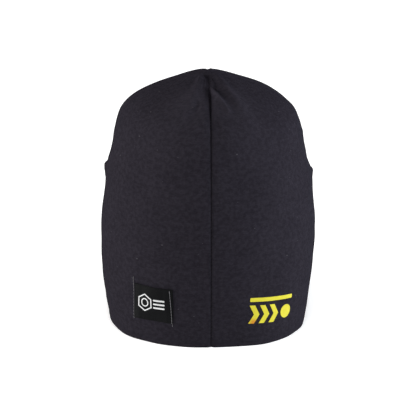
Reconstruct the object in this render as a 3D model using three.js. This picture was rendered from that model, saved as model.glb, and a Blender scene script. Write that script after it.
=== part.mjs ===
// A flame-resistant work beanie that stands on its rim, as full as when a head is in it.
// It is sewn from soft double jersey as a left and a right half. One seam joins them, from the rim at the
// back, over the crown, to the rim at the front, and each half has a dart from the crown tip down its side.
// Seam and darts draw the cloth in, so the crown is four soft lobes, and each dart ends in a small pucker.
// Two flat marks sit near the rim at the back: a woven label, sewn on at its two ends, and a yellow
// transfer print of a long bar with three chevrons and a disc under it.
// Units are millimetres and +Z is up. The back of the hat faces -Y, and its left half is towards -X.
import * as THREE from "three";

// Driving dimensions.
const HEIGHT = 200; // from the rim to the crown tip
const WIDTH = 172; // side to side at the fullest
const DEPTH = 206; // back to front at the fullest
const WALL = 2.2; // two layers of jersey, one cloth that folds over at the rim
const GAP = 0.3; // between two pieces that touch
const RIM_FLAT = 0.4; // share of the wall that is pressed flat where the rim stands
const PILLOW = 2; // power of the curve by which the cloth rolls into a seam
const SEAM_FADE = 1.2; // a fold dies out over this distance beside the centre seam
const FOLD_FALL = 0.6; // the share of its rise that a fold has lost at its end
const FOLD_FAN = 0.6; // how much wider a fold is at its end than at its start, as a share of its reach

// How finely the cloth is faceted.
const ROWS = 34; // up the outside, from the rim to the tip
const QUARTER = 16; // columns from a seam to the next one
const CROWDING = 0.1; // how far the columns draw together at a seam

// Level sections of the hat, from the rim up, each with its height as a share of HEIGHT and its reach to the
// left, right, back and front as a share of half the WIDTH or DEPTH.
const SECTIONS = [
  { height: 0, left: 0.937, right: 0.911, back: 0.903, front: 0.913 },
  { height: 0.025, left: 0.944, right: 0.918, back: 0.917, front: 0.927 },
  { height: 0.09, left: 0.972, right: 0.937, back: 0.951, front: 0.961 },
  { height: 0.215, left: 0.995, right: 0.981, back: 0.985, front: 0.99 },
  { height: 0.355, left: 1, right: 1, back: 1, front: 1 },
  { height: 0.435, left: 0.989, right: 0.998, back: 0.995, front: 0.993 },
  { height: 0.5, left: 0.967, right: 0.979, back: 0.985, front: 0.98 },
  { height: 0.58, left: 0.94, right: 0.958, back: 0.966, front: 0.956 },
  { height: 0.65, left: 0.919, right: 0.913, back: 0.942, front: 0.927 },
  { height: 0.713, left: 0.888, right: 0.887, back: 0.908, front: 0.883 },
  { height: 0.781, left: 0.86, right: 0.862, back: 0.85, front: 0.825 },
  { height: 0.843, left: 0.808, right: 0.805, back: 0.772, front: 0.748 },
  { height: 0.888, left: 0.71, right: 0.698, back: 0.68, front: 0.663 },
  { height: 0.9255, left: 0.553, right: 0.567, back: 0.568, front: 0.565 },
  { height: 0.957, left: 0.366, right: 0.376, back: 0.413, front: 0.43 },
  { height: 0.983, left: 0.198, right: 0.192, back: 0.223, front: 0.275 },
  { height: 1, left: 0, right: 0, back: 0, front: 0 },
];

// A section is a superellipse. This is its power on each side, where 2 is an ellipse and more is squarer.
const SQUARES = [
  { height: 0, left: 2.3, right: 2.55 },
  { height: 0.09, left: 2.3, right: 2.42 },
  { height: 0.215, left: 2.25, right: 2.3 },
  { height: 0.355, left: 2.2, right: 2.2 },
  { height: 0.713, left: 2.1, right: 2.1 },
  { height: 0.888, left: 2.1, right: 2.1 },
  { height: 1, left: 1.9, right: 1.9 },
];

// The crown leans to the back: a section's middle moves by this much at the tip, and by a power of the height
// above the start below it.
const LEAN = { most: 9, start: 0.45, power: 1.2 };

// How deep each seam draws the cloth in, and how far to its side that reaches, by the distance down from
// the tip.
const SEAMS = {
  back: [
    { down: 0, depth: 0, reach: 4 },
    { down: 15, depth: 2.2, reach: 8 },
    { down: 38, depth: 3.6, reach: 12 },
    { down: 62, depth: 4.6, reach: 13 },
    { down: 88, depth: 3.4, reach: 13 },
    { down: 115, depth: 2, reach: 10 },
    { down: 150, depth: 1.1, reach: 6 },
    { down: 190, depth: 0.8, reach: 3.5 },
    { down: 265, depth: 0.7, reach: 3 },
  ],
  front: [
    { down: 0, depth: 0, reach: 4 },
    { down: 15, depth: 0.2, reach: 8 },
    { down: 38, depth: 1, reach: 10 },
    { down: 65, depth: 2.6, reach: 12 },
    { down: 90, depth: 2.8, reach: 12 },
    { down: 130, depth: 1.4, reach: 8 },
    { down: 190, depth: 0.8, reach: 3.5 },
    { down: 270, depth: 0.7, reach: 3 },
  ],
  dart: [
    { down: 0, depth: 0, reach: 4 },
    { down: 20, depth: 0.8, reach: 8 },
    { down: 60, depth: 1.8, reach: 12 },
    { down: 95, depth: 2.8, reach: 11 },
    { down: 115, depth: 2.6, reach: 8 },
    { down: 123, depth: 1.4, reach: 6 },
    { down: 129, depth: 0, reach: 4 },
  ],
};

// The folds that the gathered crown and the dart ends throw. Each is a straight ridge in the cloth, or a dent
// where rise is below 0, from one point to another. A point is given by its distance beside the named seam,
// forwards from a dart, and its distance down from the tip.
const FOLDS = [
  { half: "right", seam: "back", across: 5.5, down: 14, toAcross: 29, toDown: 77, reach: 4.4, rise: 3 },
  { half: "right", seam: "back", across: 5, down: 34, toAcross: 15, toDown: 56, reach: 3.4, rise: -2 },
  { half: "right", seam: "back", across: 0.8, down: 36.5, toAcross: 14, toDown: 70, reach: 1.8, rise: 2.8 },
  { half: "left", seam: "back", across: 6, down: 16, toAcross: 14, toDown: 60, reach: 3.6, rise: 2.8 },
  { half: "left", seam: "back", across: 17, down: 46, toAcross: 26, toDown: 84, reach: 7, rise: 0.9 },
  { half: "left", seam: "back", across: 9.5, down: 58, toAcross: 11.5, toDown: 74, reach: 4, rise: -1.4 },
  { half: "right", seam: "dart", across: 7, down: 100, toAcross: 6, toDown: 124, reach: 5, rise: 0.8 },
  { half: "right", seam: "dart", across: 0, down: 131.2, toAcross: 0.5, toDown: 137, reach: 6, rise: 2.4 },
  { half: "left", seam: "dart", across: 1, down: 124.8, toAcross: 1.5, toDown: 131.8, reach: 4.8, rise: 3.4 },
  { half: "right", seam: "dart", across: -9, down: 126, toAcross: -26, toDown: 154, reach: 8, rise: 0.8 },
  { half: "left", seam: "dart", across: -9, down: 126, toAcross: -24, toDown: 152, reach: 8, rise: 0.8 },
  { half: "right", seam: "dart", across: 16, down: 128, toAcross: 40, toDown: 158, reach: 9, rise: 1.2 },
  { half: "left", seam: "dart", across: 15, down: 126, toAcross: 38, toDown: 162, reach: 9, rise: 1.2 },
  { half: "right", seam: "dart", across: 0, down: 143, toAcross: 3, toDown: 147, reach: 5.8, rise: -3.6 },
  { half: "left", seam: "dart", across: 0, down: 140, toAcross: 3, toDown: 152, reach: 7, rise: -2 },
  { half: "right", seam: "front", across: 18, down: 50, toAcross: 28, toDown: 78, reach: 6, rise: 1.4 },
  { half: "left", seam: "front", across: 16, down: 50, toAcross: 22, toDown: 80, reach: 6, rise: 1.4 },
  { half: "right", seam: "front", across: 4, down: 6, toAcross: 5, toDown: 18, reach: 5.5, rise: 0.8 },
  { half: "left", seam: "front", across: 4, down: 6, toAcross: 5, toDown: 18, reach: 5.5, rise: 1 },
];

// The marks at the back: the middle of each, beside the centre seam and above the floor, its size, and how
// many degrees it is turned clockwise, seen from behind.
const LABEL = { half: "left", across: 46.8, height: 34.6, width: 34.8, tall: 28, thick: 0.6, tilt: 0 };
const PRINT = { half: "right", across: 49.3, height: 28.7, width: 40, tall: 21, thick: 0.3, tilt: 5 };
const BAR_TALL = 3.2; // along the top of the print
const CHEVRON = { count: 3, width: 4.6, tall: 14.8, point: 4.2, pitch: 8.7 }; // they point away from the seam
const DISC = { width: 11.2, sides: 24 }; // at the end away from the seam
const MARK_STEP = 5; // a mark is bent to the cloth in steps of about this size

const JERSEY = { color: 0x2b2930, roughness: 0.95, metalness: 0 };
const SATIN = { color: 0x101112, roughness: 0.6, metalness: 0 };
const YELLOW_FILM = { color: 0xe8dc2c, roughness: 0.5, metalness: 0 };

// A smooth curve through a list of values: cubic pieces whose slopes come from the neighbouring values.
function curve(stations, values) {
  const last = stations.length - 1;
  const step = (i) => stations[i + 1] - stations[i];
  const incline = (i) => (values[i + 1] - values[i]) / step(i);
  const slopes = values.map((_, i) =>
    i > 0 && i < last ? (incline(i - 1) * step(i) + incline(i) * step(i - 1)) / (step(i - 1) + step(i)) : 0,
  );
  slopes[0] = 1.5 * incline(0) - 0.5 * slopes[1];
  slopes[last] = 1.5 * incline(last - 1) - 0.5 * slopes[last - 1];
  return (at) => {
    const x = THREE.MathUtils.clamp(at, stations[0], stations[last]);
    let i = 0;
    while (i < last - 1 && x > stations[i + 1]) i += 1;
    const t = (x - stations[i]) / step(i);
    const from = (1 + 2 * t) * (1 - t) ** 2 * values[i] + t * (1 - t) ** 2 * step(i) * slopes[i];
    return from + t * t * (3 - 2 * t) * values[i + 1] + t * t * (t - 1) * step(i) * slopes[i + 1];
  };
}

// The sections become one smooth outline, run through by climb, which is 0 at the rim and 1 at the tip.
const floorToSection = (share) => THREE.MathUtils.lerp(WALL / 2, HEIGHT, share);
const meanReach = (s) => ((s.left + s.right) * WIDTH + (s.back + s.front) * DEPTH) / 8;
const climbs = [0];
SECTIONS.slice(1).forEach((s, i) => {
  const below = SECTIONS[i];
  const along = Math.hypot((s.height - below.height) * HEIGHT, meanReach(s) - meanReach(below));
  climbs.push(climbs[i] + along);
});
const stations = climbs.map((length) => length / climbs.at(-1));
const columnCurve = (rows, at, name) => curve(at, rows.map((row) => row[name]));
const names = ["height", "left", "right", "back", "front"];
const outline = Object.fromEntries(names.map((name) => [name, columnCurve(SECTIONS, stations, name)]));
const squareHeights = SQUARES.map((row) => row.height);
const squares = {
  left: columnCurve(SQUARES, squareHeights, "left"),
  right: columnCurve(SQUARES, squareHeights, "right"),
};

function leanAt(height) {
  const share = Math.max(height - LEAN.start, 0) / (1 - LEAN.start);
  return LEAN.most * share ** LEAN.power;
}

// The point of the smooth body at a turn from the back seam, 0, by the side, 90 degrees, to the front seam.
function bodyPoint(half, turn, climb) {
  const reach = (name, size) => (outline[name](climb) * size) / 2;
  const height = outline.height(climb);
  const square = squares[half](height);
  const [sideways, forwards] = [Math.sin(turn), -Math.cos(turn)];
  const norm = (Math.abs(sideways) ** square + Math.abs(forwards) ** square) ** (-1 / square);
  const width = half === "left" ? -reach("left", WIDTH) : reach("right", WIDTH);
  const depth = forwards > 0 ? reach("front", DEPTH) : reach("back", DEPTH);
  const y = depth * forwards * norm - leanAt(height);
  return new THREE.Vector3(width * sideways * norm, y, floorToSection(height));
}

// The outward direction of the smooth body, square to its slopes up and around.
function bodyNormal(half, turn, climb) {
  const nudge = 1e-4;
  const under = Math.min(climb, 1 - 2 * nudge);
  const inside = THREE.MathUtils.clamp(turn, nudge, Math.PI - nudge);
  const around = bodyPoint(half, inside + nudge, under).sub(bodyPoint(half, inside - nudge, under));
  const up = bodyPoint(half, inside, under + nudge).sub(bodyPoint(half, inside, under - nudge));
  const normal = half === "left" ? up.cross(around) : around.cross(up);
  if (turn === 0 || turn === Math.PI) normal.x = 0;
  return normal.normalize();
}

// How far a fold lifts a point of the flat cloth: most on its line, and less towards the line's end.
function foldLift(fold, across, down) {
  const [alongAcross, alongDown] = [fold.toAcross - fold.across, fold.toDown - fold.down];
  const [fromAcross, fromDown] = [across - fold.across, down - fold.down];
  const share = (fromAcross * alongAcross + fromDown * alongDown) / (alongAcross ** 2 + alongDown ** 2);
  const held = THREE.MathUtils.clamp(share, 0, 1);
  const away = Math.hypot(fromAcross - held * alongAcross, fromDown - held * alongDown);
  const spread = fold.reach * (1 + FOLD_FAN * (held - 0.5));
  return fold.rise * (1 - FOLD_FALL * held) * Math.exp(-((away / spread) ** 2));
}

const seamCurves = Object.fromEntries(
  Object.entries(SEAMS).map(([name, rows]) => {
    const at = rows.map((row) => row.down);
    const depths = curve(at, rows.map((row) => row.depth));
    const reaches = curve(at, rows.map((row) => row.reach));
    return [name, { depth: (down) => Math.max(depths(down), 0), reach: reaches }];
  }),
);

// How far the cloth stands out of the smooth body: seams draw it in and folds lift it.
function relief(half, beside, down) {
  let rise = 0;
  for (const [name, seam] of Object.entries(seamCurves)) {
    const share = Math.max(1 - Math.abs(beside[name]) / seam.reach(down), 0);
    rise -= seam.depth(down) * share ** PILLOW;
  }
  const fade = THREE.MathUtils.smoothstep(Math.min(beside.back, beside.front), 0, SEAM_FADE);
  for (const fold of FOLDS.filter((f) => f.half === half)) {
    rise += fade * foldLift(fold, beside[fold.seam], down);
  }
  return rise;
}

// Running lengths from point to point of a polyline, starting at 0.
function runningLengths(points) {
  const lengths = [0];
  points.slice(1).forEach((p, i) => lengths.push(lengths[i] + p.distanceTo(points[i])));
  return lengths;
}

// The columns of a half: from the back seam to the dart and on to the front seam, closer beside a seam.
const turns = Array.from({ length: 2 * QUARTER + 1 }, (_, column) => {
  const share = (column % QUARTER) / QUARTER;
  const crowded = share - CROWDING * Math.sin(2 * Math.PI * share);
  return ((Math.floor(column / QUARTER) + crowded) * Math.PI) / 2;
});

// One half of the hat as a closed wall. Every column is a path that comes down the outside from the tip,
// passes under the rim and goes up the inside to the tip. The two end columns are closed off at the seam.
function clothHalf(half) {
  const rowPoints = (row) => turns.map((turn) => bodyPoint(half, turn, row / ROWS));
  const body = Array.from({ length: ROWS + 1 }, (_, row) => rowPoints(row));
  const acrossRows = body.map(runningLengths);
  const fromTip = (column) => body.map((row) => row[column]).toReversed();
  const downColumns = turns.map((_, column) => runningLengths(fromTip(column)).toReversed());
  const sign = half === "left" ? -1 : 1;

  const paths = turns.map((turn, column) => {
    const outside = [];
    const inside = [];
    body.forEach((row, level) => {
      const across = acrossRows[level];
      const beside = {
        back: across[column],
        front: across.at(-1) - across[column],
        dart: across[column] - across[QUARTER],
      };
      const normal = bodyNormal(half, turn, level / ROWS);
      const rise = relief(half, beside, downColumns[column][level]);
      const outer = row[column].clone().addScaledVector(normal, rise);
      outer.x += (sign * GAP) / 2;
      outside.push(outer);
      inside.push(outer.clone().addScaledVector(normal, -WALL));
    });
    const onFloor = (share) => outside[0].clone().lerp(inside[0], share).setZ(0);
    return [...outside.toReversed(), onFloor((1 - RIM_FLAT) / 2), onFloor((1 + RIM_FLAT) / 2), ...inside];
  });

  const pathLength = paths[0].length;
  const positions = paths.flat().flatMap((p) => [p.x, p.y, p.z]);
  const faces = [];
  const tipInside = pathLength - 1;
  const corner = (column, place) => {
    const atTip = place === 0 || place === tipInside; // all the columns meet in one point at the tip
    return (atTip ? 0 : column) * pathLength + place;
  };
  const face = (a, b, c) => {
    if (a === b || b === c || a === c) return;
    faces.push(...(half === "left" ? [a, c, b] : [a, b, c]));
  };
  const quad = (a, b, c, d) => {
    face(a, b, c);
    face(a, c, d);
  };
  for (let column = 0; column < paths.length - 1; column += 1) {
    for (let place = 0; place < tipInside; place += 1) {
      const next = column + 1;
      quad(corner(column, place), corner(column, place + 1), corner(next, place + 1), corner(next, place));
    }
  }
  for (let place = 0; place < tipInside - place; place += 1) {
    const [outer, inner] = [place, tipInside - place];
    const last = paths.length - 1;
    quad(corner(0, outer), corner(0, inner), corner(0, inner - 1), corner(0, outer + 1));
    quad(corner(last, outer), corner(last, outer + 1), corner(last, inner - 1), corner(last, inner));
  }
  const geometry = new THREE.BufferGeometry();
  geometry.setAttribute("position", new THREE.Float32BufferAttribute(positions, 3));
  geometry.setIndex(faces);
  return geometry;
}

// The place on a half's cloth at a height above the floor and a distance around from the back seam.
function onCloth(half, across, height) {
  let [low, high] = [0, 1];
  while (high - low > 1e-6) {
    const middle = (low + high) / 2;
    if (floorToSection(outline.height(middle)) < height) low = middle;
    else high = middle;
  }
  const stepTurn = Math.PI / 720;
  let turn = 0;
  let gone = 0;
  while (gone < across) {
    gone += bodyPoint(half, turn + stepTurn, low).distanceTo(bodyPoint(half, turn, low));
    turn += stepTurn;
  }
  return { point: bodyPoint(half, turn, low), normal: bodyNormal(half, turn, low) };
}

// Bends a flat mark, drawn as seen from behind with Z out of the cloth, onto the cloth around a place.
function bend(flat, place, right, up) {
  const sign = place.half === "left" ? -1 : 1;
  const centre = new THREE.Vector2();
  const position = flat.getAttribute("position");
  for (let i = 0; i < position.count; i += 1) {
    const flatSpot = new THREE.Vector2(right + position.getX(i), up + position.getY(i));
    const turned = flatSpot.rotateAround(centre, -THREE.MathUtils.degToRad(place.tilt));
    const spot = onCloth(place.half, place.across + sign * turned.x, place.height + turned.y);
    spot.point.x += (sign * GAP) / 2;
    spot.point.addScaledVector(spot.normal, GAP + position.getZ(i));
    position.setXYZ(i, ...spot.point);
  }
  return flat;
}

// A flat rectangular plate that stands on Z = 0, cut into steps so that it can bend.
function plate(width, tall, thick) {
  const [wide, high] = [Math.ceil(width / MARK_STEP), Math.ceil(tall / MARK_STEP)];
  return new THREE.BoxGeometry(width, tall, thick, wide, high, 1).translate(0, 0, thick / 2);
}

// A flat chevron that points to the right, cut into steps so that it can bend.
function chevron(width, tall, point, thick) {
  const flat = plate(width, tall, thick);
  const position = flat.getAttribute("position");
  for (let i = 0; i < position.count; i += 1) {
    const forward = point * (0.5 - Math.abs((2 * position.getY(i)) / tall));
    position.setX(i, position.getX(i) + forward);
  }
  return flat;
}

function piece(name, geometry, finish) {
  const mesh = new THREE.Mesh(geometry, new THREE.MeshStandardMaterial(finish));
  mesh.name = name;
  return mesh;
}

const hat = new THREE.Group();
hat.add(piece("left_half", clothHalf("left"), JERSEY));
hat.add(piece("right_half", clothHalf("right"), JERSEY));
hat.add(piece("woven_label", bend(plate(LABEL.width, LABEL.tall, LABEL.thick), LABEL, 0, 0), SATIN));

const underBar = CHEVRON.tall / 2 - PRINT.tall / 2; // the middle of the row of chevrons
const bar = bend(plate(PRINT.width, BAR_TALL, PRINT.thick), PRINT, 0, (PRINT.tall - BAR_TALL) / 2);
hat.add(piece("print_bar", bar, YELLOW_FILM));
for (let i = 0; i < CHEVRON.count; i += 1) {
  const right = (CHEVRON.width + CHEVRON.point - PRINT.width) / 2 + i * CHEVRON.pitch;
  const flat = chevron(CHEVRON.width, CHEVRON.tall, CHEVRON.point, PRINT.thick);
  hat.add(piece(`print_chevron_${i + 1}`, bend(flat, PRINT, right, underBar), YELLOW_FILM));
}
const round = new THREE.CylinderGeometry(DISC.width / 2, DISC.width / 2, PRINT.thick, DISC.sides);
round.rotateX(Math.PI / 2).translate(0, 0, PRINT.thick / 2);
hat.add(piece("print_disc", bend(round, PRINT, (PRINT.width - DISC.width) / 2, underBar), YELLOW_FILM));

export default hat;
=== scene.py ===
import math

import bpy
import numpy as np
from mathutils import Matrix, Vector


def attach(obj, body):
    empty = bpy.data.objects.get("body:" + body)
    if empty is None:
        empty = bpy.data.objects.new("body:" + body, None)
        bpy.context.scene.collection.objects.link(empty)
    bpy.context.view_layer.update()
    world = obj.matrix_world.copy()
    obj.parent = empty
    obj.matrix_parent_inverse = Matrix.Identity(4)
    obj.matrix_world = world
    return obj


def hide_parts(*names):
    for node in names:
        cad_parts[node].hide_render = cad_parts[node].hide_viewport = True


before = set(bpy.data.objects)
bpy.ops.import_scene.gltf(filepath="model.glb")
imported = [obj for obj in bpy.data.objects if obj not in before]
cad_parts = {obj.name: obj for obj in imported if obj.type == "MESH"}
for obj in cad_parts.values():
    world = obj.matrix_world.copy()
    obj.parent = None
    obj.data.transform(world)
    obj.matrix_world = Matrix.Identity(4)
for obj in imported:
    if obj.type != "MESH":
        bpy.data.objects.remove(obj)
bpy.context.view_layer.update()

# The two halves of the hat: soft walls of double jersey, a flame-resistant knit in dark heather charcoal,
# folded over at the rim. They are sewn together along one seam from rim to rim over the crown, and a dart
# from the crown tip down each side gathers the cloth and ends in a small pucker.

HEIGHT = 0.200  # from the rim to the crown tip
WIDTH = 0.172
DEPTH = 0.206
WALL = 0.0022
RIM_FLAT = 0.4  # share of the wall that lies flat on the floor
RIM_BENDS = [25, 50, 70, 90]  # degrees round each edge of the rim at which it has a row of points
LEFT, RIGHT = -1, 1
HALVES = ((LEFT, "left"), (RIGHT, "right"))


def columns(names, *rows):
    """A table's columns by their names."""
    return dict(zip(names.split(), np.array(rows).T))


# Level sections of the hat, from the rim up. Height is a share of HEIGHT, and the four reaches are shares of
# half the WIDTH or DEPTH.
SECTIONS = columns(
    "height left right back front",
    (0.0, 0.937, 0.911, 0.903, 0.913),
    (0.025, 0.944, 0.918, 0.917, 0.927),
    (0.09, 0.972, 0.937, 0.951, 0.961),
    (0.215, 0.995, 0.981, 0.985, 0.99),
    (0.355, 1.0, 1.0, 1.0, 1.0),
    (0.435, 0.989, 0.998, 0.995, 0.993),
    (0.5, 0.967, 0.979, 0.985, 0.98),
    (0.58, 0.94, 0.958, 0.966, 0.956),
    (0.65, 0.919, 0.913, 0.942, 0.927),
    (0.713, 0.888, 0.887, 0.908, 0.883),
    (0.781, 0.86, 0.862, 0.85, 0.825),
    (0.843, 0.808, 0.805, 0.772, 0.748),
    (0.888, 0.71, 0.698, 0.68, 0.663),
    (0.9255, 0.553, 0.567, 0.568, 0.565),
    (0.957, 0.366, 0.376, 0.413, 0.43),
    (0.983, 0.198, 0.192, 0.223, 0.275),
    (1.0, 0.0, 0.0, 0.0, 0.0),
)

# A section is a superellipse. This is its power on each side, where 2 is an ellipse and more is squarer.
SQUARES = columns(
    "height left right",
    (0.0, 2.3, 2.55),
    (0.09, 2.3, 2.42),
    (0.215, 2.25, 2.3),
    (0.355, 2.2, 2.2),
    (0.713, 2.1, 2.1),
    (0.888, 2.1, 2.1),
    (1.0, 1.9, 1.9),
)

# The crown leans to the back: a section's middle moves by most at the tip, and below it by a power of height.
LEAN = dict(most=0.009, start=0.45, power=1.2)

# How deep each seam draws the cloth in, and how far beside it, by the distance down from the tip. The
# stitches also nip the cloth in a narrow groove.
SEAMS = {
    "back": columns(
        "down depth reach nip",
        (0.0, 0.0, 0.004, 0.0),
        (0.015, 0.0008, 0.006, 0.0003),
        (0.034, 0.0014, 0.007, 0.0005),
        (0.044, 0.0020, 0.007, 0.0011),
        (0.060, 0.0022, 0.007, 0.0010),
        (0.076, 0.0020, 0.006, 0.0008),
        (0.115, 0.0014, 0.006, 0.0007),
        (0.150, 0.0010, 0.005, 0.0006),
        (0.190, 0.0008, 0.0035, 0.0005),
        (0.265, 0.0007, 0.003, 0.0005),
    ),
    "front": columns(
        "down depth reach nip",
        (0.0, 0.0, 0.004, 0.0),
        (0.015, 0.0002, 0.008, 0.0002),
        (0.038, 0.0010, 0.010, 0.0006),
        (0.065, 0.0026, 0.012, 0.0014),
        (0.090, 0.0028, 0.012, 0.0012),
        (0.130, 0.0014, 0.008, 0.0007),
        (0.190, 0.0008, 0.0035, 0.0005),
        (0.270, 0.0007, 0.003, 0.0005),
    ),
    "dart": columns(
        "down depth reach nip",
        (0.000, 0.0, 0.004, 0.0),
        (0.020, 0.0008, 0.008, 0.0006),
        (0.060, 0.0018, 0.012, 0.0014),
        (0.095, 0.0028, 0.011, 0.0020),
        (0.115, 0.0026, 0.008, 0.0018),
        (0.123, 0.0014, 0.006, 0.0010),
        (0.129, 0.0, 0.004, 0.0),
    ),
}
NIP_REACH = 0.0016
DART_END = SEAMS["dart"]["down"][-1]

# Inside, the back seam's edges are pressed to the left, so the right half dips in beside it below the tip.
TUCKS = columns(
    "down depth",
    (0.000, 0.0),
    (0.036, 0.0002),
    (0.043, 0.0017),
    (0.060, 0.0014),
    (0.072, 0.0005),
    (0.110, 0.0),
)
TUCK_REACH = 0.0044

# The folds that the gathered crown and the dart ends throw, and the fine pleats that the stitches draw up
# beside the seams, for each half and seam. Each fold has its start, its end, its reach on each side and its
# rise, which is below 0 in a dent. A point of the cloth is its distance beside the seam, forwards from a
# dart, and its distance down from the tip.
FOLDS = {
    (RIGHT, "back"): [
        ((0.0055, 0.014), (0.029, 0.077), 0.0044, 0.0030),
        ((0.005, 0.034), (0.015, 0.056), 0.0034, -0.0020),
        ((0.0008, 0.0365), (0.014, 0.070), 0.0018, 0.0028),
        ((0.002, 0.020), (0.004, 0.034), 0.001, 0.0007),
        ((0.004, 0.078), (0.008, 0.106), 0.0045, -0.0011),
    ],
    (LEFT, "back"): [
        ((0.006, 0.016), (0.014, 0.060), 0.0036, 0.0028),
        ((0.017, 0.046), (0.026, 0.084), 0.007, 0.0009),
        ((0.0095, 0.058), (0.0115, 0.074), 0.004, -0.0014),
        ((0.003, 0.022), (0.0046, 0.052), 0.0009, 0.0007),
        ((0.005, 0.026), (0.0074, 0.050), 0.0009, 0.0006),
        ((0.007, 0.064), (0.013, 0.092), 0.0025, 0.0005),
    ],
    (RIGHT, "dart"): [
        ((0.007, 0.100), (0.006, 0.124), 0.005, 0.0008),
        ((0.0, 0.1312), (0.0005, 0.137), 0.006, 0.0024),
        ((-0.009, 0.126), (-0.026, 0.154), 0.008, 0.0008),
        ((0.016, 0.128), (0.040, 0.158), 0.009, 0.0012),
        ((0.0, 0.143), (0.003, 0.147), 0.0058, -0.0036),
        ((-0.0095, 0.086), (-0.010, 0.106), 0.0012, -0.0018),
    ],
    (LEFT, "dart"): [
        ((0.001, 0.1248), (0.0015, 0.1318), 0.0048, 0.0034),
        ((-0.009, 0.126), (-0.024, 0.152), 0.008, 0.0008),
        ((0.015, 0.126), (0.038, 0.162), 0.009, 0.0012),
        ((0.0, 0.140), (0.003, 0.152), 0.007, -0.002),
        ((-0.005, 0.117), (-0.0045, 0.131), 0.0017, -0.0018),
        ((-0.004, 0.096), (-0.006, 0.116), 0.0015, 0.0007),
    ],
    (RIGHT, "front"): [
        ((0.018, 0.050), (0.028, 0.078), 0.006, 0.0014),
        ((0.004, 0.006), (0.005, 0.018), 0.0055, 0.0008),
        ((0.003, 0.030), (0.006, 0.060), 0.0012, 0.0008),
    ],
    (LEFT, "front"): [
        ((0.016, 0.050), (0.022, 0.080), 0.006, 0.0014),
        ((0.004, 0.006), (0.005, 0.018), 0.0055, 0.001),
        ((0.003, 0.036), (0.005, 0.062), 0.0012, 0.0007),
    ],
}
FOLD_FALL = 0.6  # the share of its rise that a fold has lost at its end
FOLD_FAN = 0.6  # how much wider a fold is at its end than at its start, as a share of its reach
FOLD_FADE = 0.0012  # a fold dies out over this distance beside the centre seam

# The little puckers along the centre seam, which start below the tip, and the waves of cloth that hangs free.
# Each wave has its width and its height along the cloth, and how far it lifts the cloth.
PUCKERS = dict(spacing=0.0075, slant=0.012, fade=0.0045, lift=0.00022, none=0.02, full=0.06)
PUCKER_SEEDS = {"back": 0.4, "front": 1.9}
WAVES = [
    dict(wide=0.071, tall=0.113, lift=0.00034, start=1.7),
    dict(wide=-0.049, tall=0.067, lift=0.00026, start=2.7),
    dict(wide=0.033, tall=-0.041, lift=0.00014, start=3.7),
    dict(wide=-0.023, tall=-0.031, lift=0.00008, start=4.7),
]
WAVE_SEEDS = {LEFT: 7.0, RIGHT: 12.5}
TAUT, SLACK = 0.03, 0.10  # how far down from the tip the cloth is still taut, and fully slack
SLACK_FADE = 0.010  # it is also taut at the centre seam, and slack from this distance beside it on

GRID = dict(columns=219, rows=200, crowding=0.12)  # crowding is how much closer columns lie beside a seam


def smooth_curve(stations, values):
    """A smooth curve through a list of values: between two stations it is the cubic that has their values and
    their slopes, and a station's slope is the mean of the slopes of the chords beside it, each weighted by
    the other one's length."""
    step = np.diff(stations)
    incline = np.diff(values) / step
    slope = np.empty_like(values)
    slope[1:-1] = (incline[:-1] * step[1:] + incline[1:] * step[:-1]) / (step[1:] + step[:-1])
    slope[0] = 1.5 * incline[0] - 0.5 * slope[1]
    slope[-1] = 1.5 * incline[-1] - 0.5 * slope[-2]

    def value_at(places):
        held = np.clip(places, stations[0], stations[-1])
        i = np.clip(np.searchsorted(stations, held, side="right") - 1, 0, len(step) - 1)
        t = (held - stations[i]) / step[i]
        start = (1 + 2 * t) * (1 - t) ** 2 * values[i] + t * (1 - t) ** 2 * step[i] * slope[i]
        return start + t * t * (3 - 2 * t) * values[i + 1] + t * t * (t - 1) * step[i] * slope[i + 1]

    return value_at


def section_curves():
    """One smooth curve for each column of SECTIONS, along climb: the length of the outline from the rim,
    where it is 0, to the tip, where it is 1."""
    wide, deep = SECTIONS["left"] + SECTIONS["right"], SECTIONS["back"] + SECTIONS["front"]
    mean = (wide * WIDTH + deep * DEPTH) / 8
    chords = np.hypot(np.diff(SECTIONS["height"]) * HEIGHT, np.diff(mean))
    climb = np.concatenate([[0], np.cumsum(chords)]) / chords.sum()
    return {name: smooth_curve(climb, column) for name, column in SECTIONS.items()}


outline = section_curves()
squares = {half: smooth_curve(SQUARES["height"], SQUARES[name]) for half, name in HALVES}


def body_points(half, turn, climb):
    """The smooth body: at each climb a superellipse, x = k * reach * sin(turn) and y = -k * reach *
    cos(turn), with k = (|sin|^n + |cos|^n)^(-1/n), shifted back by the lean. Turn 0 is the back seam."""
    height = outline["height"](climb)
    square = squares[half](height)
    reach = outline["left" if half == LEFT else "right"](climb)
    sideways, forwards = np.sin(turn), -np.cos(turn)
    k = (np.abs(sideways) ** square + np.abs(forwards) ** square) ** (-1 / square)
    depth = np.where(forwards > 0, outline["front"](climb), outline["back"](climb)) * DEPTH / 2
    x = half * reach * WIDTH / 2 * sideways * k
    lean = LEAN["most"] * (np.maximum(height - LEAN["start"], 0) / (1 - LEAN["start"])) ** LEAN["power"]
    y = depth * forwards * k - lean
    z = WALL / 2 + (HEIGHT - WALL / 2) * height
    return np.stack([x, y, z], -1)


def body_normals(half, turn, climb):
    """Outward unit normals of the smooth body: the cross product of its slopes around and up."""
    nudge = 1e-4
    under = np.minimum(climb, 1 - 2 * nudge)
    inside = np.clip(turn, nudge, np.pi - nudge)
    around = body_points(half, inside + nudge, under) - body_points(half, inside - nudge, under)
    up = body_points(half, inside, under + nudge) - body_points(half, inside, under - nudge)
    normal = half * np.cross(around, up)
    normal[..., 0] = np.where((turn <= 0) | (turn >= np.pi), 0, normal[..., 0])
    return normal / np.linalg.norm(normal, axis=-1, keepdims=True)


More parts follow.
